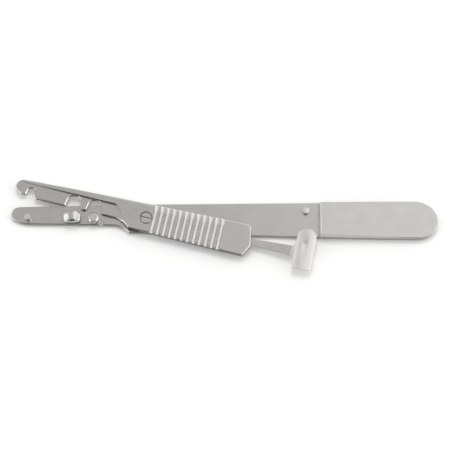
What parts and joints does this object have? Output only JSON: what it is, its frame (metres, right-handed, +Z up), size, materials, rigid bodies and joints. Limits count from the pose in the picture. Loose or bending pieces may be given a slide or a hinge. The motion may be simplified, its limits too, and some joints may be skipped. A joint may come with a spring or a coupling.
{
  "type": "scalpel handle",
  "caption": "Flat steel scalpel handle with a grooved side lever that grips and frees the blade, and a sprung T-shaped thumb catch.",
  "frame": {"origin": "on the lever's pivot axis, at the flat underside of the handle", "axes": "+X along the handle from the pivot to the butt, +Y across it towards the side the lever's nose swings out to, +Z up from the underside through the pins"},
  "size_m": [0.1401, 0.0314, 0.0047],
  "materials": {
    "body_steel": "fine satin",
    "lever_steel": "fine satin",
    "spring_steel": "fine satin",
    "pin_steel": "turned",
    "polished_steel": "polished"
  },
  "bodies": {
    "handle": {"handle_body": "body_steel", "front_hook_pin": "pin_steel", "blade_boss": "polished_steel", "blade_stud": "pin_steel", "locating_pin": "pin_steel", "catch_pin": "polished_steel", "pivot_screw": "pin_steel"},
    "lever": {"lever": "lever_steel"},
    "catch": {"spring_catch": "spring_steel"}
  },
  "joints": [
    {"name": "lever_pivot", "type": "hinge", "parent": "handle", "child": "lever", "pos_m": [0, 0, 0.0029], "axis": [0, 0, 1], "range_deg": [-8, 13]},
    {"name": "catch_flex", "type": "hinge", "parent": "lever", "child": "catch", "pos_m": [0.0265, -0.00614, 0.0025], "axis": [-0.213, -0.977, 0], "range_deg": [0, 3], "stiffness_Nm_per_rad": 1.3}
  ]
}
